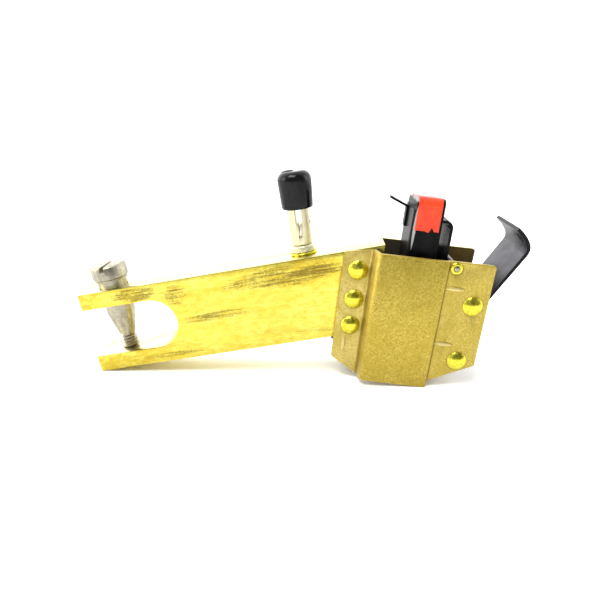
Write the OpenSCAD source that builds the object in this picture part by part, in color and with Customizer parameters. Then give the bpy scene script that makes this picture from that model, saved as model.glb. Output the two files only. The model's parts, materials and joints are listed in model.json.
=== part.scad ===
// Carbon-brush holder: forked clamp arm, two-sheet brush box, removable
// spring carrier, thumb latch lever, split-pin terminal with push-on cap.
// Millimetres, +Z up, +X along the arm towards the box, -Y is the front.

/* [Arm] */
// Height of the arm bar
arm_h = 31.75; // [25:0.05:38]
// Thickness of the arm bar, front to back
arm_t = 15.875; // [12:0.125:20]
// Width of the open fork slot
slot_w = 19.05; // [16:0.05:22]
// Distance from the fork's mouth to the slot's round end
slot_end = 35.1; // [30:0.1:45]
// Lift of the arm above level, in degrees
arm_tilt = 10.4; // [0:0.1:20]

/* [Clamp screw] */
// Distance of the screw from the fork's mouth
screw_u = 11.5; // [9:0.1:13]
// Radius of the screw's head
head_r = 6.7; // [6:0.1:8]
// Radius of the plain shoulder
shoulder_r = 5.4; // [4:0.05:5.6]
// Radius over the thread
thread_r = 3.1; // [2.5:0.05:3.3]

/* [Terminal] */
// Distance of the post from the fork's mouth
post_u = 86.5; // [80:0.1:90]
// Radius of the split barrel
post_r = 3.9; // [3.2:0.05:4.5]
// Outer radius of the cap
cap_r = 6.1; // [5:0.05:7]
// Length of the cap
cap_len = 13.3; // [10:0.1:18]

/* [Brush box] */
// Lean of the box, in degrees
box_tilt = 5.9; // [0:0.1:12]
// Sheet thickness
sheet_t = 1.2; // [0.8:0.05:1.6]
// How far the brush channel stands out from the arm's faces
channel_step = 6.35; // [4:0.05:8]
// How far the outer flanges are set back from the channel
flange_set = 0.9; // [0.5:0.05:2]
// Radius of the rivet heads
rivet_head_r = 3.5; // [3:0.05:4]
// Radius of the rivet shanks
rivet_r = 2.0; // [1.5:0.05:2.2]

/* [Spring carrier] */
// Half width of the carrier, front to back
carrier_w = 9.5; // [8:0.1:11]
// Thickness of the carrier's strip
carrier_t = 1.0; // [0.6:0.05:1.2]
// Height of the carrier's top, measured up the box
carrier_top = 81.0; // [78:0.1:86]
// Outer radius of the coiled spring
coil_r = 5.5; // [4.8:0.05:5.6]

/* [Latch lever] */
// Thickness of the lever's strip
lever_t = 1.2; // [0.8:0.05:1.2]
// Half width of the lever
lever_w = 12.0; // [7:0.1:12]

/* [Hidden] */
$fn = 64;
e = 0.01;
far = 40;                           // reach of cutting tools, past any face
ox = -75.901;                       // frame shift so the origin is the base centre
hy = arm_t/2;                       // arm half thickness
prong = (arm_h - slot_w)/2;         // height of one fork prong
sr = slot_w/2;                      // radius of the slot's round end
arm_len = 118;                      // bar before its end is cut square to the box
stud_r = 2.6;                       // terminal stud in the arm
stud_deep = 9;
chan_i = hy + channel_step;         // inner face of the channel sheet
chan_o = chan_i + sheet_t;
flg_i = chan_i - flange_set;        // inner face of the outer flange
flg_o = flg_i + sheet_t;
// box stations: a runs to the right and b runs up, both square to the leaning box
a_l = 88.6;                         // left edge of the sheets
a_c = 100.2;                        // left bend of the channel
a_s = 124.0;                        // right bend of the channel
a_r = 140.6;                        // right edge of the sheets
b_b = 12.85;                        // lower edge of the channel
b_t = 61.4;                         // upper edge of the sheets
pocket_l = 102.6;                   // the arm's end, which is the pocket's left wall
guide_a = 125.0;                    // the guide wall's inner face
arm_riv = [[94.2, 53.1], [94.2, 42.0], [94.2, 31.7]];
out_riv = [[135.4, 46.0], [134.0, 24.6]];
pin_at = [127.2, 59.0];
pin_r = 1.0;
eye_r = 2.1;                        // outer radius of the eyelets' flange
spacer_r = 3.0;
wash_t = 0.7;                       // captive washer
sh_top = arm_h + 3.3;               // underside of the screw head
sh_bot = 20.8;                      // lower end of the plain shoulder
cone_bot = 11.7;                    // lower end of the cone
tip_v = 2.6;                        // the screw's tip
post_h = 22.7;                      // barrel's top above its foot
foot_v = 3.5;                       // barrel's foot above the arm
cap_v = 13.45;                      // cap's open end above the barrel's foot
post_lean = 3.4;                    // how far the barrel leans back from square to the arm
washer_r = 4.8;
washer_t = 0.9;
collar_r = 4.4;
coil_at = [117.4, 25.0];            // centre of the coil
drum_r = 3.4;
axle_r = 1.5;
strip_rivet_r = 1.2;
car_l = 110.3; car_m = 120.7; car_r = 124.65;   // carrier: left wall, web's right edge, leg's outer face
car_sh = 74.2;                      // height of the right shoulder
car_lw = 76.6;                      // height of the left wall
strip_a = 123.25;                   // the force strip's inner face
strip_t = 0.3;
leg_a = 123.65;                     // the leg's inner face
lev_h0 = 61.7;                      // heading of the lever's long leg
eye_out = 4.3;                      // outer radius of the lever's eye
spring_y = 9.5;                     // where the lever's spring begins, front to back

module in_arm() { translate([ox, 0, 0]) rotate([0, -arm_tilt, 0]) children(); }
module in_box() { translate([ox, 0, 0]) rotate([0, box_tilt, 0]) children(); }
// a flat shape in the side plane, swept from y0 to y1
module side(y0, y1) { translate([0, y1, 0]) rotate([90, 0, 0]) linear_extrude(height = y1 - y0) children(); }
module rod(x, z, r, y0, y1) { translate([x, y1, z]) rotate([90, 0, 0]) cylinder(r = r, h = y1 - y0); }
module ring(r_out, r_in, h) {
  difference() {
    cylinder(r = r_out, h = h);
    translate([0, 0, -1]) cylinder(r = r_in, h = h + 2);
  }
}
module bar2d(p, q, t) {
  d = q - p;
  l = norm(d);
  translate(p) rotate(atan2(d[1], d[0])) translate([0, -t/2]) square([l, t]);
}
module arc2d(c, r, t, a0, a1) {
  translate(c) intersection() {
    difference() { circle(r = r + t/2); circle(r = r - t/2); }
    polygon(concat([[0, 0]], [for (i = [0:6]) let (a = a0 + (a1 - a0)*i/6) [3*r*cos(a), 3*r*sin(a)]]));
  }
}
// domed head, base at the origin, rising along +Z
module dome(r, h) {
  R = (r*r + h*h)/(2*h);
  intersection() { translate([0, 0, h - R]) sphere(r = R); cylinder(r = r + 1, h = h + 1); }
}

// ---- arm ----
module arm_bar() {
  color([0.86, 0.74, 0.25])
  difference() {
    in_arm() difference() {
      side(-hy, hy) difference() {
        square([arm_len, arm_h]);
        translate([-1, prong]) square([slot_end - sr + 1, slot_w]);
        translate([slot_end - sr, arm_h/2]) circle(r = sr);
      }
      translate([screw_u, 0, arm_h - prong - 1]) cylinder(r = shoulder_r + 0.08, h = prong + 2);
      translate([screw_u, 0, -1]) cylinder(r = thread_r + 0.05, h = prong + 2);
      translate([post_u, 0, arm_h - stud_deep]) cylinder(r = stud_r, h = stud_deep + 1);
    }
    in_box() {
      translate([pocket_l, -far, -far]) cube([60, 2*far, 140]);
      for (p = arm_riv) rod(p[0], p[1], rivet_r, -far, far);
    }
  }
}

// ---- box sheets ----
// the formed sheet seen from above: inner faces out, outer faces back
module sheet_profile() {
  polygon([[a_l, hy], [a_c - 0.9, hy], [a_c + 0.8, chan_i], [a_s - 0.35, chan_i],
           [a_s + 0.35, flg_i], [a_r, flg_i], [a_r, flg_o], [a_s + 0.75, flg_o],
           [a_s + 0.05, chan_o], [a_c - 0.2, chan_o], [a_c - 1.9, hy + sheet_t], [a_l, hy + sheet_t]]);
}
// the blank seen from the front, its top edge lowered by d
module sheet_outline(d = 0) {
  polygon([[a_l, 59.3 - d], [a_c - 0.9, b_t - 0.1 - d], [a_c, b_t - d], [a_r - 0.8, b_t - d],
           [a_r, b_t - 0.8 - d], [a_r, 23.4], [a_s + 0.8, 15.4],
           [a_s, b_b], [a_c - 2.4, b_b], [a_l, 18.6]]);
}
module box_sheet(d = 0) {
  in_box() difference() {
    union() {
      intersection() {
        linear_extrude(height = 80) sheet_profile();
        side(0, far) sheet_outline(d);
      }
      // raised ribs beside the rivets
      translate([126.2, flg_o - e, 51.0]) cube([6.2, 0.4, 1.5]);
      translate([126.2, flg_o - e, 30.0]) cube([6.2, 0.4, 1.5]);
      translate([91.8, hy + sheet_t - e, 20.6]) cube([1.5, 0.4, 6.6]);
    }
    for (p = concat(arm_riv, out_riv)) rod(p[0], p[1], rivet_r, 0, far);
    rod(pin_at[0], pin_at[1], eye_r - 0.4, 0, far);
  }
}
module rear_box_plate() { color([0.74, 0.62, 0.36]) box_sheet(0.8); }
module front_box_plate() { color([0.74, 0.62, 0.36]) mirror([0, 1, 0]) box_sheet(); }

module guide_wall() {
  color([0.72, 0.6, 0.32])
  in_box() difference() {
    union() {
      translate([guide_a, -flg_i, b_b + 3.2]) cube([sheet_t, 2*flg_i, 40.2]);
      for (s = [-1, 1]) scale([1, s, 1])
        side(flg_i - sheet_t, flg_i)
          polygon([[guide_a, b_b + 3.2], [128.5, b_b + 5.2], [139.4, 23.4],
                   [139.4, 50.2], [129.6, 55.6], [guide_a, 56.25]]);
    }
    for (p = out_riv) rod(p[0], p[1], rivet_r, -far, far);
    // window for the lever's nose
    translate([guide_a - 1, -5.8, 47.4]) cube([sheet_t + 2, 11.6, 20]);
  }
}
module arm_rivets() {
  color([0.9, 0.78, 0.3])
  in_box() for (p = arm_riv) rivet(p, hy + sheet_t);
}
module outer_rivets() {
  color([0.9, 0.78, 0.3])
  in_box() for (p = out_riv) rivet(p, flg_o);
}
module rivet(p, y) {
  rod(p[0], p[1], rivet_r, -y - e, y + e);
  translate([p[0], -y, p[1]]) rotate([90, 0, 0]) dome(rivet_head_r, 1.5);
  translate([p[0], y, p[1]]) rotate([-90, 0, 0]) dome(rivet_head_r, 1.5);
}
module rivet_spacers() {
  color([0.7, 0.7, 0.68])
  in_box() for (p = out_riv) difference() {
    rod(p[0], p[1], spacer_r, -flg_i + sheet_t, flg_i - sheet_t);
    rod(p[0], p[1], rivet_r, -far, far);
  }
}
module cross_pin() {
  color([0.8, 0.8, 0.8])
  in_box() rod(pin_at[0], pin_at[1], pin_r, -flg_o - 0.9, flg_o + 0.9);
}
module pin_eyelets() {
  color([0.8, 0.68, 0.4])
  in_box() for (s = [-1, 1]) scale([1, s, 1]) difference() {
    union() {
      rod(pin_at[0], pin_at[1], eye_r, flg_o, flg_o + 0.55);
      rod(pin_at[0], pin_at[1], eye_r - 0.4, flg_i, flg_o + 0.1);
    }
    rod(pin_at[0], pin_at[1], pin_r, 0, far);
  }
}

// ---- terminal ----
module in_post() { in_arm() translate([post_u, 0, arm_h + foot_v]) rotate([0, post_lean, 0]) children(); }
module post_washer() {
  color([0.84, 0.74, 0.3])
  in_arm() translate([post_u, 0, arm_h]) ring(washer_r, stud_r, washer_t);
}
module post_collar() {
  color([0.82, 0.8, 0.72])
  in_arm() translate([post_u, 0, arm_h + washer_t]) ring(collar_r, stud_r, foot_v - washer_t);
}
module terminal_post() {
  color([0.82, 0.78, 0.68])
  difference() {
    union() {
      in_arm() translate([post_u, 0, arm_h - stud_deep]) cylinder(r = stud_r, h = stud_deep + foot_v + 0.7);
      in_post() translate([0, 0, 0.3]) cylinder(r = post_r, h = post_h - 1.3);
      in_post() translate([0, 0, post_h - 1]) cylinder(r1 = post_r, r2 = post_r - 0.8, h = 1);
    }
    // split, saw cut and stop hole
    in_post() {
      translate([-1.1, -8, 7.9]) cube([2.2, 16, 30]);
      translate([-0.3, -8, 3.7]) cube([0.6, 16, 5]);
      rod(0, 3.6, 0.7, -8, 8);
    }
  }
}
module post_cap() {
  color([0.05, 0.05, 0.05])
  in_post() translate([0, 0, cap_v]) {
    difference() {
      union() {
        cylinder(r = cap_r, h = cap_len - 2);
        translate([0, 0, cap_len - 2]) cylinder(r = cap_r - 2, h = 2);
        translate([0, 0, cap_len - 2]) rotate_extrude() translate([cap_r - 2, 0]) intersection() {
          circle(r = 2);
          square(3);
        }
      }
      translate([0, 0, -1]) cylinder(r = post_r + 0.06, h = cap_len - 1.2);
    }
    // moulding nub, off the centre
    translate([-2.0, 0, cap_len - 0.2]) cylinder(r = 1.6, h = 0.7);
  }
}

// ---- clamp screw ----
module clamp_screw() {
  color([0.6, 0.58, 0.55])
  in_arm() translate([screw_u, 0, 0]) difference() {
    union() {
      translate([0, 0, sh_top]) cylinder(r = head_r, h = 4.6);
      translate([0, 0, sh_top + 4.6]) cylinder(r1 = head_r, r2 = head_r - 0.6, h = 0.6);
      translate([0, 0, sh_bot]) cylinder(r = shoulder_r, h = sh_top - sh_bot + e);
      translate([0, 0, cone_bot]) cylinder(r1 = thread_r, r2 = shoulder_r, h = sh_bot - cone_bot);
      translate([0, 0, tip_v + 0.5]) cylinder(r = thread_r, h = cone_bot - tip_v - 0.5 + e);
      translate([0, 0, tip_v]) cylinder(r1 = thread_r - 0.5, r2 = thread_r, h = 0.5);
    }
    // driver slot
    translate([-0.8, -10, sh_top + 3.4]) cube([1.6, 20, 5]);
  }
}
module captive_washer() {
  color([0.7, 0.7, 0.7])
  in_arm() translate([screw_u, 0, sh_top - 0.06 - wash_t]) ring(head_r - 0.5, shoulder_r + 0.07, wash_t);
}

// ---- spring carrier ----
module rrect(x0, x1, w, r) {
  union() {
    translate([x0 + r, -w]) square([x1 - x0 - 2*r, 2*w]);
    translate([x0, -w + r]) square([x1 - x0, 2*w - 2*r]);
    for (x = [x0 + r, x1 - r], y = [-w + r, w - r]) translate([x, y]) circle(r = r);
  }
}
// strip rolled over the top, front to back, falling a little to the rear
module crown2d(w, z0, z1, r, fall) {
  union() {
    polygon([[-w, z0], [w, z0], [w, z1 - r - fall], [w - r, z1 - fall], [-w + r, z1], [-w, z1 - r]]);
    translate([-w + r, z1 - r]) circle(r = r);
    translate([w - r, z1 - r - fall]) circle(r = r);
  }
}
module crown(x0, x1, w, z0, z1, r) {
  translate([x0, 0, 0]) rotate([90, 0, 90]) linear_extrude(height = x1 - x0) crown2d(w, z0, z1, r, 1.4);
}
module carrier_shell() {
  t = carrier_t;
  w = carrier_w;
  color([0.06, 0.06, 0.07])
  in_box() difference() {
    union() {
      translate([0, 0, 46]) linear_extrude(height = car_lw - 46) rrect(car_l, car_m, w, 1.6);
      crown(car_l + 0.6, car_m, w, 60, carrier_top, 2.6);
      // right shoulder: one strip from the web over and down into the leg
      side(-w, w) union() {
        translate([car_m - 1, car_sh - t]) square([car_r - 2.8 - car_m + 1, t]);
        translate([car_r - t, 46]) square([t, car_sh - 2.8 - 46]);
        arc2d([car_r - 2.8, car_sh - 2.8], 2.8 - t/2, t, -0.5, 90.5);
      }
    }
    translate([0, 0, 40]) linear_extrude(height = car_lw - 41) rrect(car_l + t, car_m - t, w - t, 0.7);
    crown(car_l + 0.6 + t, car_m - t, w - t, 40, carrier_top - t, 1.6);
    // the inner right wall is open towards the leg, so that the coil clears it
    translate([car_m - t - 0.1, -w + t, 40]) cube([t + 0.2, 2*w - 2*t, 28]);
    // window in the back web, through which the coil can be seen
    translate([112.2, w - 2, 49]) cube([6.6, 4, 17]);
    // room for the leg's root
    translate([leg_a - 0.05, -w + 2, 40]) cube([3, 2*w - 4, 26]);
  }
}
module carrier_leg() {
  color([0.07, 0.07, 0.08])
  in_box() difference() {
    union() {
      translate([leg_a, -carrier_w + 2, 14.8]) cube([1.0, 2*carrier_w - 4, 51.2]);
      translate([strip_a - 3.2, -5, 14.8]) cube([4, 10, 1.2]);
    }
    translate([leg_a + 2, 0, 19]) rotate([0, -90, 0]) cylinder(r = strip_rivet_r, h = 5);
  }
}
module warning_band() {
  w = carrier_w;
  th = 0.18;
  color([1, 0.3, 0.15])
  in_box() intersection() {
    difference() {
      crown(111.5, 119.8, w + th, 60, carrier_top + th, 2.6 + th);
      crown(110, 121, w, 50, carrier_top, 2.6);
    }
    union() {
      translate([110, -20, 69.6]) cube([12, 20, 20]);
      translate([110, -1, 73.5]) cube([12, 20, 20]);
    }
  }
}
module pull_tab() {
  color([0.08, 0.08, 0.09])
  in_box() side(2.8, 6.4) union() {
    bar2d([car_l - 0.4, 68.5], [car_l - 0.4, 75.9], 0.8);
    bar2d([car_l - 0.25, 75.7], [103.2, 78.5], 0.8);
  }
}
module force_strip() {
  color([0.72, 0.73, 0.75])
  in_box() difference() {
    translate([strip_a, -5, 16]) cube([strip_t + 0.1, 10, 36]);
    translate([leg_a + 2, 0, 19]) rotate([0, -90, 0]) cylinder(r = strip_rivet_r, h = 5);
  }
}
module strip_rivet() {
  color([0.8, 0.8, 0.8])
  in_box() translate([leg_a + 1.0, 0, 19]) rotate([0, -90, 0]) cylinder(r = strip_rivet_r, h = 1.5);
}
module brush_saddle() {
  color([0.66, 0.62, 0.5])
  in_box() difference() {
    union() {
      translate([111.7, -8.2, coil_at[1] - 8.3]) cube([11.1, 16.4, 1.6]);
      for (s = [-1, 1]) scale([1, s, 1]) side(6.9, 8.2) union() {
        translate([coil_at[0] - 3.6, coil_at[1] - 7.4]) square([7.2, 7.4]);
        translate(coil_at) circle(r = 3.6);
      }
    }
    rod(coil_at[0], coil_at[1], axle_r, -far, far);
  }
}
module coil_axle() {
  color([0.75, 0.75, 0.75])
  in_box() rod(coil_at[0], coil_at[1], axle_r, -8.3, 8.3);
}
module coil_drum() {
  color([0.85, 0.83, 0.78])
  in_box() difference() {
    rod(coil_at[0], coil_at[1], drum_r, -5.6, 5.6);
    rod(coil_at[0], coil_at[1], axle_r + 0.06, -far, far);
  }
}
module force_coil() {
  color([0.72, 0.73, 0.75])
  in_box() difference() {
    rod(coil_at[0], coil_at[1], coil_r, -5, 5);
    rod(coil_at[0], coil_at[1], drum_r, -far, far);
  }
}

// ---- latch lever ----
// unit vectors along a heading and to its left
function hd(a) = [cos(a), sin(a)];
function nl(a) = [-sin(a), cos(a)];
// long leg, tight bend, gently curved thumb hook and its straight tip
module lever_path(t) {
  h0 = lev_h0;
  h1 = 122;
  h2 = 142;
  bend_r = 4;
  hook_r = 14;
  s0 = out_riv[0] - 3.7*nl(h0);
  s1 = s0 + 24.5*hd(h0);
  c1 = s1 + bend_r*nl(h0);
  s2 = c1 - bend_r*nl(h1);
  c2 = s2 + hook_r*nl(h1);
  s3 = c2 - hook_r*nl(h2);
  bar2d(s0, s1, t);
  arc2d(c1, bend_r, t, h0 - 90 - 0.5, h1 - 90 + 0.5);
  arc2d(c2, hook_r, t, h1 - 90 - 0.1, h2 - 90 + 0.1);
  bar2d(s3, s3 + 1.5*hd(h2), t);
}
module latch_lever() {
  P = out_riv[0];
  color([0.52, 0.51, 0.54])
  in_box() {
    difference() {
      side(-lever_w, lever_w) lever_path(lever_t);
      // the strip is narrower beside its eye, where the spring sits
      translate([P[0] - 10, spring_y, P[1] - 10]) cube([30, 10, 17]);
      rod(P[0], P[1], spacer_r + 0.08, -far, far);
    }
    // eye that turns on the upper spacer
    side(-lever_w, spring_y) difference() {
      translate(P) circle(r = eye_out);
      translate(P) circle(r = spacer_r + 0.08);
    }
    // nose that reaches into the guide wall's window
    side(-5, 5) difference() {
      translate([guide_a + 0.25, P[1] + 3.12]) square([P[0] - guide_a - 0.25, lever_t]);
      translate(P) circle(r = spacer_r + 0.08);
    }
  }
}
module lever_spring() {
  P = out_riv[0];
  color([0.7, 0.7, 0.72])
  in_box() {
    difference() {
      rod(P[0], P[1], 4.2, 9.7, 11.8);
      rod(P[0], P[1], 3.35, 0, far);
    }
    side(9.7, 10.5) bar2d(P + 3.8*hd(-28), P + 3.8*hd(-28) + 8*hd(lev_h0), 0.8);
  }
}

arm_bar();
front_box_plate();
rear_box_plate();
guide_wall();
arm_rivets();
outer_rivets();
rivet_spacers();
cross_pin();
pin_eyelets();
terminal_post();
post_washer();
post_collar();
post_cap();
clamp_screw();
captive_washer();
carrier_shell();
warning_band();
pull_tab();
carrier_leg();
force_strip();
strip_rivet();
brush_saddle();
coil_axle();
coil_drum();
force_coil();
latch_lever();
lever_spring();
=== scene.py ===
"""Looks for the carbon-brush holder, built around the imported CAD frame."""
import json
import math

import bmesh
import bpy
from mathutils import Matrix, Vector, noise


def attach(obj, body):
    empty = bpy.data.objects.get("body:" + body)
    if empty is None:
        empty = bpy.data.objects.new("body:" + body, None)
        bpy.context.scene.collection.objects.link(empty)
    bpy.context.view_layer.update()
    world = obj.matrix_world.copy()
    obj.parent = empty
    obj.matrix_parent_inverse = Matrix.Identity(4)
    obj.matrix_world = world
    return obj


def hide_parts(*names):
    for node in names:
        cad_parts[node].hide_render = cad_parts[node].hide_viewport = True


# ---------------------------------------------------------------- camera
cam_data = bpy.data.cameras.new("camera")
cam_data.lens = 32.26
cam_data.sensor_width = 36
cam_data.clip_start, cam_data.clip_end = 0.005, 20
cam = bpy.data.objects.new("camera", cam_data)
bpy.context.scene.collection.objects.link(cam)
bpy.context.scene.camera = cam
cam.location = (0.01104, -0.1950, 0.0969)
PITCH, YAW = math.radians(19.385), math.radians(-2.655)
look = Vector((math.sin(YAW) * math.cos(PITCH), math.cos(YAW) * math.cos(PITCH), -math.sin(PITCH)))
cam.rotation_mode = "QUATERNION"
cam.rotation_quaternion = look.to_track_quat("-Z", "Y")

bpy.context.scene.view_settings.view_transform = "Standard"

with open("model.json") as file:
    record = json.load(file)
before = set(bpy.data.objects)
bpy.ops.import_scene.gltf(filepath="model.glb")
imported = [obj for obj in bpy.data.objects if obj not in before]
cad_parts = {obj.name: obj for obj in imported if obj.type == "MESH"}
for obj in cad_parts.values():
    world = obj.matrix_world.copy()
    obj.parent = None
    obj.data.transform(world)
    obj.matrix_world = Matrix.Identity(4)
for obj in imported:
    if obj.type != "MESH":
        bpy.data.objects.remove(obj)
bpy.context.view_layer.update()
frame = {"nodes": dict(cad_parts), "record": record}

# ---------------------------------------------------------------- sizes, in millimetres, as the CAD has them
MM = 0.001
AL, BE, OX = math.radians(10.4), math.radians(5.9), -75.901     # tilt of the arm, lean of the box, shift along X
ARM_H, HALF = 31.75, 7.9375                                     # the bar's height and half its thickness
SLOT_R, SLOT_END, POCKET = 9.525, 35.1, 102.6
SCREW_U, SHOULDER_R, HEAD_R, THREAD_R, PITCH_MM = 11.5, 5.4, 6.7, 3.1, 1.27
SH_TOP, SH_BOT, CONE_BOT, TIP = 35.05, 20.8, 11.7, 2.6
POST_U, POST_R, POST_FOOT, POST_LEAN = 86.5, 3.9, 3.5, math.radians(3.4)
CAP_R, CAP_V, CAP_LEN = 6.1, 13.45, 13.3                         # the cap is measured from the barrel's foot
A_L, A_C, A_S, A_R = 88.6, 100.2, 124.0, 140.6                  # left edge, channel, step and right edge of the sheets
B_LOW, B_TOP, SHEET = 12.85, 61.4, 1.2
CHAN, FLANGE = HALF + 6.35, HALF + 5.45                         # inner faces of the channel and of the outer flange
ARM_RIVETS = [(94.2, 53.1), (94.2, 42.0), (94.2, 31.7)]
OUT_RIVETS = [(135.4, 46.0), (134.0, 24.6)]
PIN = (127.2, 59.0)
CROWN_W, CROWN_TOP, CROWN_R, CROWN_FALL = 9.5, 81.0, 2.6, 1.4
COIL = (117.4, 25.0)


def arm(u, v, y=0.0):
    """A point given along the arm, across it and to the rear."""
    return Vector((u * math.cos(AL) - v * math.sin(AL) + OX, y, u * math.sin(AL) + v * math.cos(AL))) * MM


def box(a, b, y=0.0):
    """A point given across the box, up the box and to the rear."""
    return Vector((a * math.cos(BE) + b * math.sin(BE) + OX, y, -a * math.sin(BE) + b * math.cos(BE))) * MM


def post(x, y, h):
    """A point round the terminal barrel, which leans back a little from square to the arm."""
    w = AL - POST_LEAN
    return arm(POST_U, ARM_H + POST_FOOT) + Vector((x * math.cos(w) - h * math.sin(w), y, x * math.sin(w) + h * math.cos(w))) * MM


# ---------------------------------------------------------------- shader graph helper
class Sock:
    """A shader socket that takes arithmetic."""

    def __init__(self, g, s):
        self.g, self.s = g, s

    def __add__(self, o): return self.g.m("ADD", self, o)
    def __radd__(self, o): return self.g.m("ADD", o, self)
    def __sub__(self, o): return self.g.m("SUBTRACT", self, o)
    def __rsub__(self, o): return self.g.m("SUBTRACT", o, self)
    def __mul__(self, o): return self.g.m("MULTIPLY", self, o)
    def __rmul__(self, o): return self.g.m("MULTIPLY", o, self)
    def __truediv__(self, o): return self.g.m("DIVIDE", self, o)
    def __pow__(self, o): return self.g.m("POWER", self, o)


class Graph:
    """A node tree; every node comes from n(), arithmetic from m()."""

    def __init__(self, tree):
        self.t = tree
        self.t.nodes.clear()

    def put(self, socket, value):
        if isinstance(value, Sock):
            self.t.links.new(value.s, socket)
        elif value is not None:
            socket.default_value = (*value, 1.0) if socket.type == "RGBA" and len(value) == 3 else value

    def n(self, kind, settings=None, out=0, **inputs):
        """Any node: its kind, its settings first, then its socket values and links."""
        node = self.t.nodes.new("ShaderNode" + kind)
        for k, v in (settings or {}).items():
            setattr(node, k, v)
        for k, v in inputs.items():
            self.put(node.inputs[int(k[1:]) if k[0] == "i" and k[1:].isdigit() else k.replace("_", " ")], v)
        return Sock(self, node.outputs[out]) if node.outputs else None

    def m(self, op, a, b=None):
        return self.n("Math", {"operation": op}, i0=a, i1=b)

    def v(self, op, a, b=None, out=0):
        return self.n("VectorMath", {"operation": op}, out=out, i0=a, i1=b)

    def mix(self, f, a, b):
        return self.n("Mix", {"data_type": "RGBA"}, out=2, i0=f, i6=a, i7=b)

    def noise(self, at, scale, detail=3.0, rough=0.55, warp=0.0):
        return self.n("TexNoise", None, Vector=at, Scale=scale, Detail=detail, Roughness=rough, Distortion=warp)

    def step(self, x, a, b, lo=0.0, hi=1.0):
        """x from a to b becomes lo to hi, smoothly, and stays inside them."""
        return self.n("MapRange", {"interpolation_type": "SMOOTHSTEP"}, Value=x, i1=a, i2=b, i3=lo, i4=hi)

    def xyz(self, vec):
        node = self.t.nodes.new("ShaderNodeSeparateXYZ")
        self.put(node.inputs[0], vec)
        return [Sock(self, o) for o in node.outputs]

    def scaled(self, vec, x, y, z):
        return self.v("MULTIPLY", vec, (x, y, z))


class Finish(Graph):
    """One material: a Principled shader and the place on the object."""

    def __init__(self, name):
        self.mat = bpy.data.materials.new(name)
        self.mat.use_nodes = True
        super().__init__(self.mat.node_tree)
        self.bsdf = self.t.nodes.new("ShaderNodeBsdfPrincipled")
        end = self.t.nodes.new("ShaderNodeOutputMaterial")
        self.t.links.new(self.bsdf.outputs[0], end.inputs[0])
        self.pos = self.n("TexCoord", out="Object")

    def place(self, angle):
        """Millimetres in a frame turned about Y: along (u or a), to the rear, and across (v or b)."""
        p = self.v("ADD", self.scaled(self.pos, 1000.0, 1000.0, 1000.0), (-OX, 0.0, 0.0))
        return self.n("VectorRotate", {"rotation_type": "Y_AXIS"}, Vector=p, Angle=angle)

    def blot(self, x, z, at, size, soft=1.0):
        """One inside an ellipse, falling to nothing at its edge."""
        dx, dz = (x - at[0]) / size[0], (z - at[1]) / size[1]
        return self.step(dx * dx + dz * dz, 1.0 - 0.9 * soft, 1.0, 1.0, 0.0)

    def bump(self, height, strength=0.3, distance=0.0001):
        return self.n("Bump", None, Strength=strength, Distance=distance, Height=height)

    def done(self, **inputs):
        for k, v in inputs.items():
            self.put(self.bsdf.inputs[k.replace("_", " ")], v)
        return self.mat


# ---------------------------------------------------------------- finishes
def machined_brass():
    g = Finish("machined_brass")
    p = g.place(AL)
    u, y, v = g.xyz(p)
    brushed = g.noise(g.scaled(p, 0.10, 5.0, 5.0), 1.0, 4.0, 0.7)
    streak = g.noise(g.scaled(p, 0.09, 0.9, 0.9), 1.0, 5.0, 0.68, 0.6)
    cloud = g.noise(g.scaled(p, 0.09, 0.2, 0.2), 1.0, 3.0, 0.6, 0.5)
    grit = g.noise(p, 1.6, 4.0, 0.75)
    # tarnish gathers along the upper edge towards the box, round the screw and in drawn-out streaks
    tarnish = g.blot(u, v, (79, 26.5), (30, 6.0)) * 0.20 + g.blot(u, v, (21, 28.6), (13, 4.2)) * 0.22
    tarnish = tarnish + g.blot(u, v, (37, 26.0), (7, 5.5)) * 0.20 + g.blot(u, v, (58, 25.0), (7, 4.0)) * 0.06
    tarnish = tarnish + g.blot(u, v, (50, 15.4), (22, 2.4)) * 0.20 + g.blot(u, v, (30, 2.6), (17, 1.6)) * 0.18
    tarnish = tarnish + g.blot(u, v, (92, 26.5), (15, 3)) * 0.06 + g.blot(u, v, (66, 7), (12, 5)) * 0.07
    lines = g.noise(g.scaled(p, 0.06, 2.6, 2.6), 1.0, 4.0, 0.7)
    smear = g.step(streak * 0.36 + lines * 0.34 + grit * 0.30 + tarnish, 0.62, 0.78)
    mottle = g.noise(g.scaled(p, 0.35, 0.7, 0.7), 1.0, 5.0, 0.72)
    spot = g.step(g.noise(p, 0.9, 5.0, 0.7), 0.66, 0.76) * g.step(cloud, 0.45, 0.62)
    col = g.mix(g.step(brushed, 0.3, 0.7), (0.74, 0.62, 0.080), (0.96, 0.88, 0.20))
    col = g.mix(g.step(cloud, 0.42, 0.62) * 0.6, col, (0.80, 0.62, 0.07))
    col = g.mix(g.step(mottle, 0.42, 0.64) * 0.6, col, (0.66, 0.49, 0.045))
    dull = g.blot(u, v, (8, 4), (24, 9)) + g.blot(u, v, (-2, 28), (14, 9)) + g.blot(u, v, (84, 28), (24, 8))
    col = g.mix(dull * g.step(mottle, 0.30, 0.60) * 0.7, col, (0.60, 0.44, 0.04))
    col = g.mix(smear * 0.80, col, (0.17, 0.105, 0.010))
    col = g.mix(spot * 0.4, col, (0.34, 0.20, 0.02))
    painted_top_light = g.step(g.xyz(g.n("TexCoord", out="Normal"))[2], 0.80, 0.95)     # painted light: upward faces made paler, as lit tops
    col = g.mix(painted_top_light * 0.6, col, (0.97, 0.95, 0.62))
    rough = g.step(brushed, 0.2, 0.8, 0.17, 0.30) + smear * 0.2
    return g.done(Base_Color=col, Metallic=1.0 - smear * 0.3, Roughness=rough,
                  Normal=g.bump(brushed + g.noise(g.scaled(p, 0.05, 9.0, 9.0), 1.0, 3.0, 0.75), 0.25, 0.00008))


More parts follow.
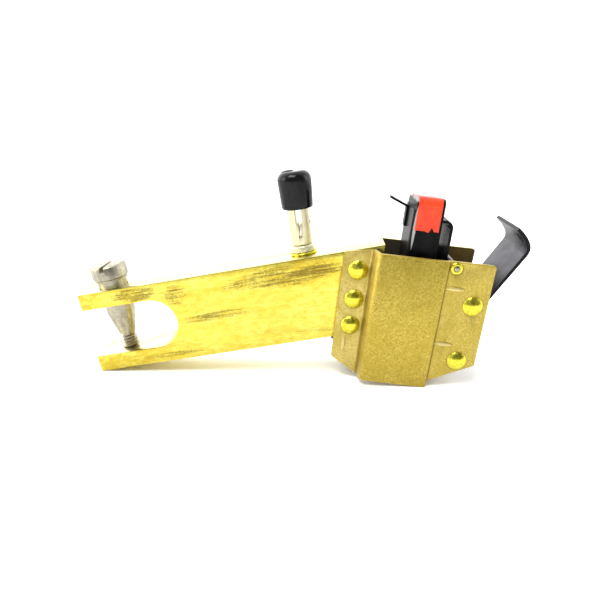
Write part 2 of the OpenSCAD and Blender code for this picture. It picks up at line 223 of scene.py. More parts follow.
def sheet_brass():
    g = Finish("sheet_brass")
    p = g.place(-BE)
    a, y, b = g.xyz(p)
    grain = g.noise(p, 1.7, 5.0, 0.78)
    glint_specks = g.noise(g.scaled(p, 1.0, 1.0, 0.55), 3.6, 3.0, 0.75)
    cloud = g.noise(p, 0.13, 4.0, 0.62, 0.6)
    stain = g.step(g.noise(g.scaled(p, 1.0, 1.0, 0.55), 0.22, 5.0, 0.66, 0.8), 0.54, 0.70)
    wash = g.step(a, 123.2, 125.2) * 0.30 + g.step(a, 100.6, 99.0)   # pale on the left flange, less on the right
    chan = g.mix(g.step(grain, 0.30, 0.70), (0.36, 0.255, 0.030), (0.78, 0.62, 0.13))
    flan = g.mix(g.step(grain, 0.30, 0.70), (0.52, 0.40, 0.095), (0.82, 0.68, 0.24))
    col = g.mix(wash, chan, flan)
    col = g.mix(g.step(cloud, 0.40, 0.66) * 0.55, col, (0.50, 0.37, 0.050))
    col = g.mix(stain * 0.35, col, (0.33, 0.23, 0.030))
    # painted glints: pale specks scattered over the sheet
    col = g.mix(g.step(glint_specks, 0.60, 0.74) * 0.45, col, (0.90, 0.74, 0.26))
    # painted shade: dark lines along the two bends of the channel
    painted_bend_shade = g.blot(a, b, (98.6, 37), (0.7, 60)) + g.blot(a, b, (124.7, 37), (0.5, 60))
    col = g.mix(painted_bend_shade * 0.45, col, (0.16, 0.095, 0.01))
    # painted shadow with grime: a dark ring round each rivet head and round the pin
    for at, r in [(q, 3.5) for q in ARM_RIVETS + OUT_RIVETS] + [(PIN, 2.1)]:
        ring = g.blot(a, b, at, (r + 0.65, r + 0.65), 0.4) - g.blot(a, b, at, (r - 0.1, r - 0.1), 0.2)
        col = g.mix(ring * 0.40, col, (0.20, 0.125, 0.012))
    # painted highlight: pale patches on the pressed ribs and on the small rib by the arm
    ribs = g.blot(a, b, (128.0, 51.6), (3.7, 0.9)) + g.blot(a, b, (127.9, 30.6), (3.6, 0.9)) + g.blot(a, b, (92.5, 23.9), (0.8, 3.4))
    col = g.mix(ribs * 0.5, col, (0.93, 0.80, 0.42))
    # painted shade and carbon dust on the inner faces: near black in the pocket, browner and thinner beyond it
    facing = g.xyz(g.n("TexCoord", out="Normal"))[1] * y
    inside = g.step(facing, -2.0, -6.0)
    shade_and_soot = g.mix(g.step(a + grain * 3.0, 122.5, 126.0), (0.006, 0.006, 0.006), (0.135, 0.082, 0.010))
    shade_and_soot = g.mix(g.step(cloud, 0.35, 0.75) * 0.5, shade_and_soot, (0.030, 0.022, 0.008))
    col = g.mix(inside * 0.96, col, shade_and_soot)
    return g.done(Base_Color=col, Metallic=0.95 - inside * 0.9,
                  Roughness=g.step(grain, 0.2, 0.8, 0.40, 0.54) + inside * 0.3,
                  Normal=g.bump(grain + glint_specks * 0.6, 0.5, 0.00018))


def rivet_brass():
    g = Finish("rivet_brass")
    p = g.place(-BE)
    a = g.noise(p, 0.9, 4.0, 0.6)
    b = g.noise(p, 5.0, 4.0, 0.75)
    col = g.mix(g.step(a, 0.3, 0.7), (0.66, 0.59, 0.032), (0.90, 0.83, 0.10))
    col = g.mix(g.step(b, 0.56, 0.74) * 0.5, col, (0.30, 0.21, 0.015))
    return g.done(Base_Color=col, Metallic=1.0, Roughness=g.step(a, 0.3, 0.7, 0.17, 0.30),
                  Normal=g.bump(a * 1.5 + b * 0.4, 0.2, 0.00010))


def turned_steel(name, dark, light, r0, r1, rings):
    """Steel with fine tool rings across the arm's direction and a faint brown film."""
    g = Finish(name)
    p = g.place(AL)
    a = g.noise(g.scaled(p, 1.0, 1.0, 0.25), 0.7, 3.0, 0.55)
    b = g.noise(g.scaled(p, 0.4, 0.4, 7.0), 1.0, 3.0, 0.7)
    c = g.noise(p, 3.5, 3.0, 0.7)
    film = g.step(g.noise(g.scaled(p, 0.9, 0.9, 0.3), 0.8, 3.0, 0.6), 0.52, 0.70)
    col = g.mix(g.step(a * 0.5 + b * 0.5, 0.34, 0.66), dark, light)
    col = g.mix(film * 0.4 * rings, col, (0.30, 0.22, 0.12))
    u, y, v = g.xyz(p)
    # painted shade: dark where the steel lies deep inside the box
    painted_deep_shade = g.step(g.m("ABSOLUTE", y), 13.2, 12.8) * g.step(u, 104.0, 106.0)
    col = g.mix(painted_deep_shade * 0.85, col, (0.05, 0.042, 0.034))
    return g.done(Base_Color=col, Metallic=1.0, Roughness=g.step(c, 0.25, 0.75, r0, r1),
                  Normal=g.bump(b * rings + c * 0.4, 0.3, 0.00009))


def black_steel():
    g = Finish("black_steel")
    p = g.place(-BE)
    a = g.noise(p, 0.25, 4.0, 0.6)
    b = g.noise(p, 4.0, 3.0, 0.7)
    wear = g.step(g.noise(p, 1.1, 5.0, 0.75), 0.66, 0.74)
    across_, y, up = g.xyz(p)
    front = g.step(y, -7.4, -8.2)
    edge = across_ + (b - 0.5) * 0.5
    # painted highlights: pale stripes along the web's left bend and down the right shoulder
    rub = g.blot(edge, up, (111.4, 70.4), (0.55, 8.4), 0.6) * front
    rub = rub + g.blot(edge, up, (122.0, 68.6), (1.0, 4.6), 0.6) * g.step(y, -8.6, -9.2)
    # painted light: the left part of the crown's top made pale grey, as lit from above
    painted_crown_top_light = g.step(up + b * 1.2, 79.6, 80.6) * g.step(across_, 111.7, 111.4)
    col = g.mix(g.step(a, 0.3, 0.7), (0.0025, 0.0025, 0.003), (0.009, 0.009, 0.010))
    col = g.mix(wear * 0.25, col, (0.12, 0.11, 0.11))
    col = g.mix(painted_crown_top_light * 0.85, col, g.mix(g.step(a, 0.35, 0.65), (0.30, 0.30, 0.31), (0.62, 0.62, 0.62)))
    col = g.mix(rub * 0.9, col, (0.55, 0.55, 0.55))
    g.bsdf.inputs["Specular IOR Level"].default_value = 0.08
    return g.done(Base_Color=col, Metallic=0.0, Roughness=g.step(b, 0.2, 0.8, 0.22, 0.36) + painted_crown_top_light * 0.2,
                  Normal=g.bump(b + a, 0.15, 0.0001))


def vinyl():
    g = Finish("black_vinyl")
    p = g.place(AL)
    a = g.noise(p, 0.22, 3.0, 0.6)
    b = g.noise(g.scaled(p, 2.2, 2.2, 0.5), 1.0, 4.0, 0.65)
    col = g.mix(g.step(a, 0.3, 0.7), (0.0015, 0.0015, 0.0018), (0.0075, 0.0075, 0.0085))
    g.bsdf.inputs["Specular IOR Level"].default_value = 0.20
    return g.done(Base_Color=col, Metallic=0.0, Roughness=g.step(b, 0.25, 0.75, 0.08, 0.18),
                  Coat_Weight=g.step(b, 0.3, 0.7, 0.02, 0.12), Normal=g.bump(a * 2.0 + b * 0.5, 0.25, 0.0002))


def tape():
    g = Finish("red_tape")
    p = g.place(-BE)
    a = g.noise(p, 0.35, 4.0, 0.6)
    b = g.noise(p, 3.0, 4.0, 0.7)
    col = g.mix(g.step(a, 0.3, 0.7), (0.86, 0.050, 0.014), (0.94, 0.080, 0.022))
    col = g.mix(g.step(b, 0.62, 0.8) * 0.35, col, (0.70, 0.045, 0.015))
    g.bsdf.inputs["Specular IOR Level"].default_value = 0.30
    return g.done(Base_Color=col, Metallic=0.0, Roughness=g.step(b, 0.2, 0.8, 0.26, 0.40), Coat_Weight=0.1,
                  Normal=g.bump(a * 1.5 + b * 0.3, 0.3, 0.00015))


def plating():
    g = Finish("tin_plate")
    p = g.place(AL)
    a = g.noise(p, 0.6, 4.0, 0.6)
    b = g.noise(g.scaled(p, 3.0, 3.0, 0.25), 1.0, 4.0, 0.7)
    rub = g.step(g.noise(p, 0.8, 4.0, 0.7), 0.48, 0.66)
    col = g.mix(g.step(b, 0.3, 0.7), (0.70, 0.65, 0.42), (0.88, 0.84, 0.62))
    col = g.mix(rub * 0.45, col, (0.80, 0.68, 0.26))
    return g.done(Base_Color=col, Metallic=0.85, Roughness=g.step(a, 0.3, 0.7, 0.38, 0.50),
                  Normal=g.bump(b, 0.2, 0.0001))


def blued():
    g = Finish("blued_steel")
    p = g.place(-BE)
    a, y, b = g.xyz(p)
    tone = g.noise(p, 0.12, 4.0, 0.6, 0.6)
    fine = g.noise(p, 3.2, 4.0, 0.75)
    lines = g.noise(g.scaled(p, 0.25, 4.0, 0.25), 1.0, 3.0, 0.7)
    face = g.xyz(g.n("TexCoord", out="Normal"))
    # burnt patch and a small pit inside the thumb hook
    hook = g.step(a, 146.0, 148.0) * g.step(face[0], 0.0, -0.3)
    burn = g.step(g.noise(p, 0.9, 4.0, 0.7) * 0.8 + g.blot(y, b, (-7.4, 70.9), (4.8, 2.0)) * hook * 0.6, 0.74, 0.84)
    pit = g.blot(y, b, (-1.6, 70.8), (0.7, 0.6), 0.3) * hook
    col = g.mix(g.step(tone, 0.3, 0.7), (0.060, 0.058, 0.066), (0.110, 0.107, 0.118))
    col = g.mix(g.step(lines, 0.5, 0.75) * 0.3, col, (0.19, 0.185, 0.205))
    # painted shade: near black on the strip's front and rear edge faces and on the end face at the hook's top
    end = g.step(face[2] - face[0], 1.1, 1.3) * g.step(b, 73.2, 73.5)
    painted_edge_shade = g.step(g.m("ABSOLUTE", face[1]), 0.45, 0.80) + end
    col = g.mix(painted_edge_shade * 0.92, col, (0.010, 0.010, 0.013))
    col = g.mix(burn * 0.95, col, (0.004, 0.004, 0.006))
    col = g.mix(pit * 0.9, col, (0.02, 0.02, 0.02))
    burnt = g.m("MAXIMUM", burn, pit)
    return g.done(Base_Color=col, Metallic=0.9 - burnt * 0.9, Roughness=g.step(fine, 0.2, 0.8, 0.34, 0.48) + burnt * 0.3,
                  Normal=g.bump(fine + lines, 0.2, 0.00008))


def plastic():
    g = Finish("drum_plastic")
    p = g.place(-BE)
    a = g.noise(p, 0.6, 4.0, 0.6)
    b = g.noise(p, 5.0, 3.0, 0.7)
    col = g.mix(g.step(a, 0.3, 0.7), (0.50, 0.43, 0.30), (0.66, 0.60, 0.46))
    return g.done(Base_Color=col, Metallic=0.0, Roughness=g.step(b, 0.2, 0.8, 0.45, 0.6),
                  Normal=g.bump(b, 0.15, 0.0001))


MAT = {
    "machined_brass": machined_brass(),
    "sheet_brass": sheet_brass(),
    "rivet_brass": rivet_brass(),
    "plain_steel": turned_steel("plain_steel", (0.30, 0.275, 0.21), (0.56, 0.525, 0.41), 0.30, 0.42, 1.0),
    "tin_plate": plating(),
    "black_vinyl": vinyl(),
    "black_steel": black_steel(),
    "red_tape": tape(),
    "spring_steel": turned_steel("spring_steel", (0.50, 0.50, 0.52), (0.78, 0.78, 0.80), 0.18, 0.30, 0.0),
    "drum_plastic": plastic(),
    "blued_steel": blued(),
}


# ---------------------------------------------------------------- mesh helpers
def piece(name, bm, slot, body, nodes=(), degrees=38):
    bmesh.ops.recalc_face_normals(bm, faces=bm.faces)
    for f in bm.faces:
        f.smooth = True
    for e in bm.edges:
        e.smooth = not (len(e.link_faces) == 2 and e.calc_face_angle(0) > math.radians(degrees))
    me = bpy.data.meshes.new(name)
    bm.to_mesh(me)
    bm.free()
    me.materials.append(MAT[slot])
    o = bpy.data.objects.new(name, me)
    bpy.context.scene.collection.objects.link(o)
    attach(o, body)
    if nodes:
        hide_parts(*nodes)
    return o


def sweep(bm, rings, loop=False):
    """Rings of equal count joined into a closed skin; the two ends are capped unless it loops."""
    vs = [[bm.verts.new(p) for p in ring] for ring in rings]
    n = len(vs[0])
    pairs = list(zip(vs, vs[1:])) + ([(vs[-1], vs[0])] if loop else [])
    for A, B in pairs:
        for i in range(n):
            j = (i + 1) % n
            bm.faces.new((A[i], A[j], B[j], B[i]))
    if not loop:
        bm.faces.new(list(reversed(vs[0])))
        bm.faces.new(vs[-1])


def lathe(bm, profile, place, turns=72, wobble=0.0):
    """Rings of (radius, height) round an axis; place(x, y, h) gives the point. Radius 0 closes an end."""
    def ring(r, h):
        if r < 1e-6:
            return [bm.verts.new(place(0, 0, h))]
        out = []
        for i in range(turns):
            w = 2 * math.pi * i / turns
            k = r * (1 + wobble * noise.noise(Vector((math.cos(w) * 1.3, math.sin(w) * 1.3, h * 0.22))))
            out.append(bm.verts.new(place(k * math.cos(w), k * math.sin(w), h)))
        return out
    rings = [ring(r, h) for r, h in profile]
    closed = profile[0][0] > 0
    for A, B in list(zip(rings, rings[1:])) + ([(rings[-1], rings[0])] if closed else []):
        for i in range(turns):
            j = (i + 1) % turns
            if len(A) == 1:
                bm.faces.new((A[0], B[i], B[j]))
            elif len(B) == 1:
                bm.faces.new((A[i], A[j], B[0]))
            else:
                bm.faces.new((A[i], A[j], B[j], B[i]))


def prism(bm, outline, place, t0, t1):
    """A closed outline swept between two values of the third coordinate."""
    sweep(bm, [[place(p, q, t) for p, q in outline] for t in (t0, t1)])


def soften(bm, width, segments=2, degrees=30):
    bm.normal_update()
    es = [e for e in bm.edges if len(e.link_faces) == 2 and e.calc_face_angle(0) > math.radians(degrees)]
    bmesh.ops.bevel(bm, geom=es, offset=width * MM, segments=segments, profile=0.5, affect="EDGES", clamp_overlap=True)


def rounded(points, radii, steps=6):
    """A line's corners rounded with the given radii."""
    out = []
    n = len(points)
    for i, (p, r) in enumerate(zip(points, radii)):
        if r <= 0:
            out.append(Vector(p))
            continue
        a, b, c = Vector(points[i - 1]), Vector(p), Vector(points[(i + 1) % n])
        d0, d1 = (a - b).normalized(), (c - b).normalized()
        half = d0.angle(d1) / 2
        mid = (d0 + d1).normalized() * (r / math.sin(half)) + b
        s, t = b + d0 * (r / math.tan(half)) - mid, b + d1 * (r / math.tan(half)) - mid
        turn = math.atan2(s.x * t.y - s.y * t.x, s.dot(t))
        for k in range(steps + 1):
            w = turn * k / steps
            out.append(mid + Vector((s.x * math.cos(w) - s.y * math.sin(w), s.x * math.sin(w) + s.y * math.cos(w))))
    return out


def ribbon(line, t):
    """The outline of a strip of thickness t whose middle follows the line."""
    left, right = [], []
    for i, p in enumerate(line):
        d = (line[min(i + 1, len(line) - 1)] - line[max(i - 1, 0)]).normalized()
        nrm = Vector((-d.y, d.x)) * t / 2
        left.append(p + nrm)
        right.append(p - nrm)
    return left + right[::-1]


def arc(cx, cy, r, a0, a1, steps=12):
    """Points on an arc, angles in degrees."""
    ws = [math.radians(a0 + (a1 - a0) * k / steps) for k in range(steps + 1)]
    return [Vector((cx + r * math.cos(w), cy + r * math.sin(w))) for w in ws]


def solid(bm):
    bmesh.ops.recalc_face_normals(bm, faces=bm.faces)
    me = bpy.data.meshes.new("tmp")
    bm.to_mesh(me)
    bm.free()
    o = bpy.data.objects.new("tmp", me)
    bpy.context.scene.collection.objects.link(o)
    return o


def cut(bm, tools, op="DIFFERENCE"):
    """The mesh after an exact boolean with each tool; all are used up."""
    base = solid(bm)
    obs = [solid(t) for t in tools]
    for o in obs:
        md = base.modifiers.new("cut", "BOOLEAN")
        md.operation, md.object, md.solver = op, o, "EXACT"
    dg = bpy.context.evaluated_depsgraph_get()
    res = bmesh.new()
    me = bpy.data.meshes.new_from_object(base.evaluated_get(dg))
    res.from_mesh(me)
    for o in [base] + obs:
        bpy.data.objects.remove(o)
    return res


def rod(r, place, h0, h1, turns=48):
    bm = bmesh.new()
    lathe(bm, [(0, h0), (r, h0), (r, h1), (0, h1)], place, turns)
    return bm


def block(place, x, y, z):
    """A box between pairs of limits in the given place's own axes."""
    bm = bmesh.new()
    prism(bm, [(x[0], y[0]), (x[1], y[0]), (x[1], y[1]), (x[0], y[1])], place, z[0], z[1])
    return bm


def blob(centre, rx, ry, rz, angle):
    """A small smooth swelling, turned about Y by the angle."""
    bm = bmesh.new()
    m = Matrix.Translation(centre) @ Matrix.Rotation(angle, 4, "Y") @ Matrix.Diagonal((rx * MM, ry * MM, rz * MM, 1))
    bmesh.ops.create_uvsphere(bm, u_segments=28, v_segments=16, radius=1, matrix=m)
    return bm


def on_arm(u0, v0=0.0):
    """Places round an upright axis of the arm."""
    return lambda x, y, h: arm(u0 + x, v0 + h, y)


def across(a0, b0):
    """Places round an axis that runs from front to rear through a point of the box."""
    return lambda x, y, h: box(a0 + x, b0 + y, h)


def dome(r, h, base, steps=7):
    """Profile of a domed head from its rim to its top."""
    R = (r * r + h * h) / (2 * h)
    top = math.asin(r / R)
    return [(R * math.sin(top * (1 - k / steps)), base + R * math.cos(top * (1 - k / steps)) - R + h) for k in range(steps + 1)]


# ---------------------------------------------------------------- arm
def arm_piece():
    mid = ARM_H / 2
    fork = arc(SLOT_END - SLOT_R, mid, SLOT_R, 90, -90, 32)
    top = (POCKET + ARM_H * math.sin(AL + BE)) / math.cos(AL + BE)
    low = POCKET / math.cos(AL + BE)
    outline = [(0, 0), (low, 0), (top, ARM_H), (0, ARM_H), (0, mid + SLOT_R)] + [tuple(p) for p in fork] + [(0, mid - SLOT_R)]
    bm = bmesh.new()
    prism(bm, outline, arm, -HALF, HALF)
    bm = cut(bm, [rod(SHOULDER_R + 0.1, on_arm(SCREW_U), mid, ARM_H + 1, 64),
                  rod(THREAD_R + 0.05, on_arm(SCREW_U), -1, mid, 48),
                  rod(2.6, on_arm(POST_U), ARM_H - 9, ARM_H + 1)]
             + [rod(2.0, across(*p), -HALF - 1, HALF + 1) for p in ARM_RIVETS])
    soften(bm, 0.22, 2, 40)
    piece("arm_bar_finished", bm, "machined_brass", "frame", ["arm_bar"])


# ---------------------------------------------------------------- box sheets
def sheet_piece(name, node, sign, drop):
    """One stamped sheet: arm flange, raised channel and outer flange, its outline trimmed and its ribs pressed in."""
    m = SHEET / 2
    line = rounded([(A_L, HALF + m), (A_C - 1.4, HALF + m), (A_C + 0.3, CHAN + m), (A_S - 0.15, CHAN + m),
                    (A_S + 0.55, FLANGE + m), (A_R, FLANGE + m)], [0, 1.5, 1.7, 0.8, 0.8, 0], 7)
    bm = bmesh.new()
    prism(bm, [tuple(p) for p in ribbon(line, SHEET)], lambda a, y, b: box(a, b, sign * y), B_LOW - 3, B_TOP + 3)
    trim = bmesh.new()
    edge = rounded([(A_L, 59.3 - drop), (A_C - 0.9, B_TOP - 0.1 - drop), (A_C, B_TOP - drop), (A_R, B_TOP - drop), (A_R, 23.4),
                    (A_S + 0.8, 15.4), (A_S, B_LOW), (A_C - 2.4, B_LOW), (A_L, 18.6)],
                   [0.8, 0, 0, 0.9, 1.0, 0.5, 0, 1.2, 0.9], 4)
    prism(trim, [tuple(p) for p in edge], lambda a, b, y: box(a, b, sign * y), HALF - 3, CHAN + 5)
    holes = [rod(2.0, across(*p), sign * (HALF - 2), sign * (CHAN + 3)) for p in ARM_RIVETS + OUT_RIVETS]
    holes.append(rod(1.7, across(*PIN), sign * (HALF - 2), sign * (CHAN + 3)))
    bm = cut(cut(bm, [trim], "INTERSECT"), holes)
    soften(bm, 0.2, 2, 45)
    out = sign * (FLANGE + SHEET)
    bm = cut(bm, [blob(box(128.0, 51.6, out), 3.7, 0.50, 1.0, BE), blob(box(127.9, 30.6, out), 3.6, 0.50, 1.0, BE),
                  blob(box(92.5, 23.9, sign * (HALF + SHEET)), 0.8, 0.40, 3.3, BE)], "UNION")
    piece(name, bm, "sheet_brass", "frame", [node], 30)


def rivets(name, node, points, y):
    bm = bmesh.new()
    head = [(3.38, y), (3.5, y + 0.14)] + dome(3.42, 1.28, y + 0.22)
    whole = [(r, -h) for r, h in reversed(head)] + [(2.0, -y), (2.0, y)] + head
    for p in points:
        lathe(bm, whole, across(*p), 56)
    piece(name, bm, "rivet_brass", "frame", [node])


def pin_and_eyelets():
    out = FLANGE + SHEET
    bm = bmesh.new()
    end = [(1.0, out + 0.45), (0.86, out + 0.72), (0.5, out + 0.87), (0, out + 0.9)]
    lathe(bm, [(r, -h) for r, h in reversed(end)] + end, across(*PIN), 40)
    piece("cross_pin_domed", bm, "plain_steel", "frame", ["cross_pin"])
    bm = bmesh.new()
    for s in (-1, 1):
        lathe(bm, [(r, s * h) for r, h in [(1.03, out + 0.30), (1.2, out + 0.50), (1.55, out + 0.55), (1.9, out + 0.42), (2.1, out + 0.18),
                                           (2.06, out + 0.01), (1.68, out + 0.01), (1.68, FLANGE), (1.03, FLANGE)]], across(*PIN), 44)
    piece("pin_eyelets_rolled", bm, "rivet_brass", "frame", ["pin_eyelets"])


# ---------------------------------------------------------------- terminal
def terminal():
    bm = bmesh.new()
    lathe(bm, [(0, -12.4), (2.6, -12.4), (2.6, 0.35), (3.6, 0.35), (POST_R, 0.6), (POST_R, 21.7), (POST_R - 0.8, 22.7), (0, 22.7)], post, 72)
    bm = cut(bm, [block(post, (-1.1, 1.1), (-8, 8), (7.9, 40)), block(post, (-0.28, 0.28), (-8, 8), (3.7, 8.1)),
                  rod(0.62, lambda x, z, y: post(x, y, 3.6 + z), -8, 8, 28)])
    soften(bm, 0.12, 2, 50)
    bm = cut(bm, [blob(post(POST_R, -0.4, 8.2), 0.42, 0.6, 0.75, -AL)], "UNION")
    piece("terminal_barrel", bm, "tin_plate", "frame", ["terminal_post"])
    at = on_arm(POST_U, ARM_H)
    bm = bmesh.new()
    lathe(bm, [(2.62, 0.02), (4.6, 0.02), (4.8, 0.2), (4.8, 0.7), (4.6, 0.88), (2.62, 0.88)], at, 64)
    piece("terminal_washer", bm, "rivet_brass", "frame", ["post_washer"])
    bm = bmesh.new()
    lathe(bm, [(2.62, 0.92), (4.05, 0.92), (4.35, 1.15), (4.4, 1.5), (4.4, 2.9), (4.2, 3.3), (3.95, 3.46), (2.62, 3.46)], at, 64)
    piece("terminal_collar", bm, "tin_plate", "frame", ["post_collar"])


def cap():
    """Dip-moulded cap: wider towards its soft shoulders, slightly uneven wall, a nub off the centre of its top."""
    def at(x, y, h):
        return post(x, y, CAP_V + h)
    r = CAP_R
    outer = [(r - 0.95, 0.05), (r - 0.62, 0.14), (r - 0.45, 0.45), (r - 0.36, 1.2), (r - 0.26, 3.0), (r - 0.13, 6.0), (r - 0.03, 8.6), (r, 9.9)]
    outer += [(r - 3.1 + 3.1 * math.cos(w), CAP_LEN - 3.0 + 3.0 * math.sin(w)) for w in [math.radians(9 * k) for k in range(1, 11)]]
    outer += [(1.6, CAP_LEN + 0.04), (0, CAP_LEN + 0.06)]
    inner = [(0, CAP_LEN - 2.2), (POST_R + 0.1, CAP_LEN - 2.2), (POST_R + 0.1, 0.25), (POST_R + 0.35, 0.06)]
    bm = bmesh.new()
    lathe(bm, inner + outer, at, 96, 0.008)
    bm = cut(bm, [blob(at(-2.2, 0.6, CAP_LEN - 0.15), 2.3, 2.0, 0.64, -AL)], "UNION")
    piece("cap_moulded", bm, "black_vinyl", "cap", ["post_cap"], 50)


# ---------------------------------------------------------------- clamp screw
def clamp_screw():
    at = on_arm(SCREW_U)
    root = THREAD_R - 0.62 * PITCH_MM
    body = [(0, TIP), (root - 0.2, TIP), (root, TIP + 0.4), (root, CONE_BOT - 0.2), (THREAD_R, CONE_BOT + 0.1), (SHOULDER_R - 0.08, SH_BOT - 0.15),
            (SHOULDER_R, SH_BOT + 0.1), (SHOULDER_R, SH_TOP), (HEAD_R - 0.35, SH_TOP), (HEAD_R, SH_TOP + 0.3), (HEAD_R, SH_TOP + 4.5),
            (HEAD_R - 0.15, SH_TOP + 4.8), (HEAD_R - 0.6, SH_TOP + 5.12), (HEAD_R - 1.4, SH_TOP + 5.2), (0, SH_TOP + 5.2)]
    bm = bmesh.new()
    lathe(bm, body, at, 96)
    bm = cut(bm, [block(at, (-0.8, 0.8), (-10, 10), (SH_TOP + 3.4, SH_TOP + 9))])
    per, first, last = 36, TIP + 0.7, CONE_BOT - 0.5
    rings = []
    count = int((last - first) / PITCH_MM * per)
    for i in range(count + 1):
        w = 2 * math.pi * i / per
        h = first + PITCH_MM * i / per
        crest = root + (THREAD_R - root) * min(1.0, i / 14, (count - i) / 14 + 0.05)
        rings.append([at(r * math.cos(w), r * math.sin(w), h + d) for r, d in
                      ((root - 0.15, -0.60), (crest, -0.09), (crest, 0.09), (root - 0.15, 0.60))])
    sweep(bm, rings)
    piece("clamp_screw_threaded", bm, "plain_steel", "screw", ["clamp_screw"], 35)
    bm = bmesh.new()
    h = SH_TOP - 0.06
    lathe(bm, [(SHOULDER_R + 0.07, h - 0.7), (HEAD_R - 0.62, h - 0.7), (HEAD_R - 0.5, h - 0.55), (HEAD_R - 0.5, h - 0.12), (HEAD_R - 0.6, h),
               (SHOULDER_R + 0.07, h)], at, 72)
    piece("captive_washer_turned", bm, "plain_steel", "screw_ring", ["captive_washer"])


# ---------------------------------------------------------------- carrier
def warning_band():
    """Tape laid over the crown, a little wavy, with a torn nick at its front edge."""
    w, r, gap, thick = CROWN_W, CROWN_R, 0.03, 0.17
    cols, left, right = 44, 111.5, 119.8

    def course(off, low):
        pts = [Vector((-w - off, low + (CROWN_TOP - r - low) * k / 12)) for k in range(12)]
        pts += arc(-w + r, CROWN_TOP - r, r + off, 180, 96, 9)
        pts += [Vector((-w + r + (2 * w - 2 * r) * k / 12, CROWN_TOP - CROWN_FALL * k / 12 + off)) for k in range(1, 12)]
        pts += arc(w - r, CROWN_TOP - CROWN_FALL - r, r + off, 86, 0, 9)
        pts += [Vector((w + off, 76.4 - (76.4 - 73.5) * k / 5)) for k in range(1, 6)]
        return pts

    rings = []
    for c in range(cols + 1):
        a = left + (right - left) * c / cols
        nick = 1.5 * max(0.0, 1 - abs(a - 117.3) / 0.9) - 0.45 * max(0.0, 1 - abs(a - 116.1) / 1.2) + 0.12 * noise.noise(Vector((a * 1.6, 3, 1)))
        low = 69.75 + nick
        outer, inner = course(gap + thick, low), course(gap, low)
        lift = [0.05 * (1 + noise.noise(Vector((a * 0.55, k * 0.21, 7.0)))) for k in range(len(outer))]
        mid = Vector((0, 70))
        outer = [p + (p - mid).normalized() * e for p, e in zip(outer, lift)]
        rings.append([box(a, p.y, p.x) for p in outer + inner[::-1]])
    bm = bmesh.new()
    sweep(bm, rings)
    piece("warning_band_taped", bm, "red_tape", "carrier", ["warning_band"], 50)


def spring_coil():
    """The rolled part of the constant-force spring, turn on turn."""
    turns, per, r0, r1 = 9, 30, 3.5, 5.36
    line = []
    for i in range(turns * per + 1):
        w = 2 * math.pi * i / per
        r = r0 + (r1 - r0) * i / (turns * per)
        line.append(Vector((COIL[0] + r * math.cos(w), COIL[1] + r * math.sin(w))))
    t = 0.13
    rings = []
    for i, p in enumerate(line):
        out = (p - Vector(COIL)).normalized() * t / 2
        rings.append([box((p + s * out).x, (p + s * out).y, y) for s, y in ((-1, -4.9), (1, -4.9), (1, 4.9), (-1, 4.9))])
    bm = bmesh.new()
    sweep(bm, rings)
    piece("force_coil_rolled", bm, "spring_steel", "coil", ["force_coil"], 50)


def torsion_spring():
    """Lever spring: wire wound round the spacer, one leg against the strip."""
    P = Vector(OUT_RIVETS[0])
    wire, R, per, y0 = 0.38, 3.78, 30, 10.15
    head = math.radians(61.7)
    path = []
    for i in range(int(1.75 * per) + 1):
        w = math.radians(-28) - 2 * math.pi * i / per
        path.append((P.x + R * math.cos(w), P.y + R * math.sin(w), y0 + 1.2 * i / (1.75 * per)))
    start = path[0]
    leg = [(start[0] + k * math.cos(head), start[1] + k * math.sin(head), 10.1) for k in (7.6, 5.0, 2.5)]
    pts = [box(*p) for p in leg + path]
    rings = []
    for i, p in enumerate(pts):
        d = (pts[min(i + 1, len(pts) - 1)] - pts[max(i - 1, 0)]).normalized()
        side = d.cross(Vector((0, 1, 0)))
        side = side.normalized() if side.length > 1e-4 else Vector((1, 0, 0))
        up = side.cross(d)
        rings.append([p + (side * math.cos(k) + up * math.sin(k)) * wire * MM for k in [2 * math.pi * j / 10 for j in range(10)]])
    bm = bmesh.new()
    sweep(bm, rings)
    piece("lever_spring_wound", bm, "spring_steel", "lever", ["lever_spring"], 50)


arm_piece()
sheet_piece("front_sheet_formed", "front_box_plate", -1, 0.0)
sheet_piece("rear_sheet_formed", "rear_box_plate", 1, 0.8)
rivets("arm_rivets_headed", "arm_rivets", ARM_RIVETS, HALF + SHEET)
rivets("outer_rivets_headed", "outer_rivets", OUT_RIVETS, FLANGE + SHEET)
pin_and_eyelets()
terminal()
cap()
clamp_screw()
warning_band()
spring_coil()
torsion_spring()

# ---------------------------------------------------------------- CAD nodes that stay: finish and soft edges
SLOT = {r["node"]: r["material_slot"] for r in frame["record"]["subparts"]}
EDGE = {"carrier_shell": 0.22, "latch_lever": 0.25, "pull_tab": 0.18, "carrier_leg": 0.15, "brush_saddle": 0.15, "guide_wall": 0.12}
for name, o in frame["nodes"].items():
    o.data.materials.clear()
    o.data.materials.append(MAT[SLOT[name]])
    if name in EDGE:
        weld = o.modifiers.new("weld", "WELD")
        weld.merge_threshold = 1e-6
        flat = o.modifiers.new("flat", "DECIMATE")
        flat.decimate_type, flat.angle_limit = "DISSOLVE", math.radians(0.6)
        bev = o.modifiers.new("edge", "BEVEL")
        bev.width, bev.segments, bev.limit_method, bev.angle_limit = EDGE[name] * MM, 2, "ANGLE", math.radians(40)
        bev.harden_normals = True

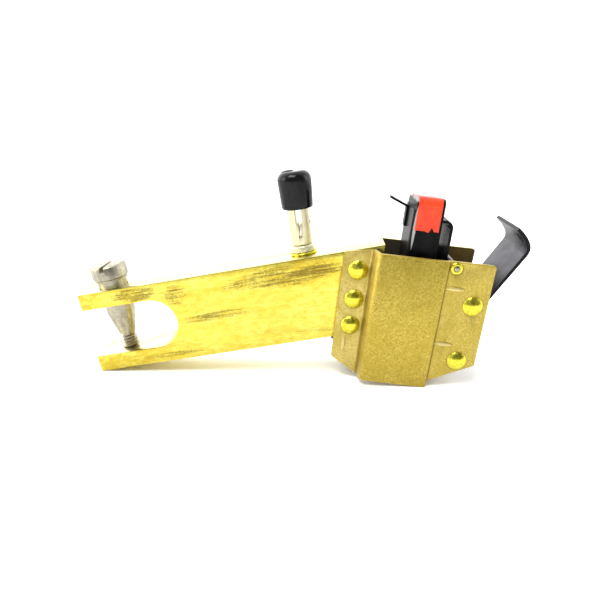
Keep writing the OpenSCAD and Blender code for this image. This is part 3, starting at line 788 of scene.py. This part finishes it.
# ---------------------------------------------------------------- stage, world and lamps
def floor():
    """A pale floor; straight to the camera it is white paper lit from all round."""
    mat = bpy.data.materials.new("floor")
    mat.use_nodes = True
    g = Graph(mat.node_tree)
    shade = g.n("LightPath", out="Is Camera Ray")
    paper = g.n("BsdfDiffuse", Color=(0.90, 0.90, 0.89))
    white = g.n("BsdfDiffuse", Color=(1.32, 1.32, 1.31))
    both = g.n("MixShader", i0=shade, i1=paper, i2=white)
    g.n("OutputMaterial", Surface=both)
    me = bpy.data.meshes.new("floor")
    me.from_pydata([(-4, -4, 0), (4, -4, 0), (4, 4, 0), (-4, 4, 0)], [], [(0, 1, 2, 3)])
    me.materials.append(mat)
    o = bpy.data.objects.new("floor", me)
    bpy.context.scene.collection.objects.link(o)


def surroundings():
    """A light tent: bright behind and above, dimmer in front, white where it is seen directly."""
    w = bpy.data.worlds.new("world")
    bpy.context.scene.world = w
    w.use_nodes = True
    g = Graph(w.node_tree)
    x, y, z = g.xyz(g.n("TexCoord", out="Generated"))
    glow = g.step(y, -0.70, 0.45, 0.20, 2.1) * g.step(z, -0.1, 0.9, 1.0, 0.75) + g.step(x, 0.0, -0.9, 0.0, 0.4)
    tent = g.n("Background", Color=(1, 1, 1), Strength=glow)
    seen = g.n("Background", Color=(1, 1, 1), Strength=1.15)
    both = g.n("MixShader", i0=g.n("LightPath", out="Is Camera Ray"), i1=tent, i2=seen)
    g.n("OutputWorld", Surface=both)


def lamp(name, at, size, power, target=(0.0, 0.0, 0.03)):
    d = bpy.data.lights.new(name, "AREA")
    d.shape, d.size, d.size_y = "RECTANGLE", size[0], size[1]
    d.energy = power
    o = bpy.data.objects.new(name, d)
    bpy.context.scene.collection.objects.link(o)
    o.location = at
    o.rotation_mode = "QUATERNION"
    o.rotation_quaternion = (Vector(target) - Vector(at)).to_track_quat("-Z", "Y")


floor()
surroundings()
lamp("key", (-0.20, -0.30, 0.75), (0.45, 0.35), 4.0)
lamp("left", (-0.75, -0.15, 0.30), (0.35, 0.5), 1.8)
lamp("right", (0.70, 0.05, 0.35), (0.25, 0.5), 1.1)
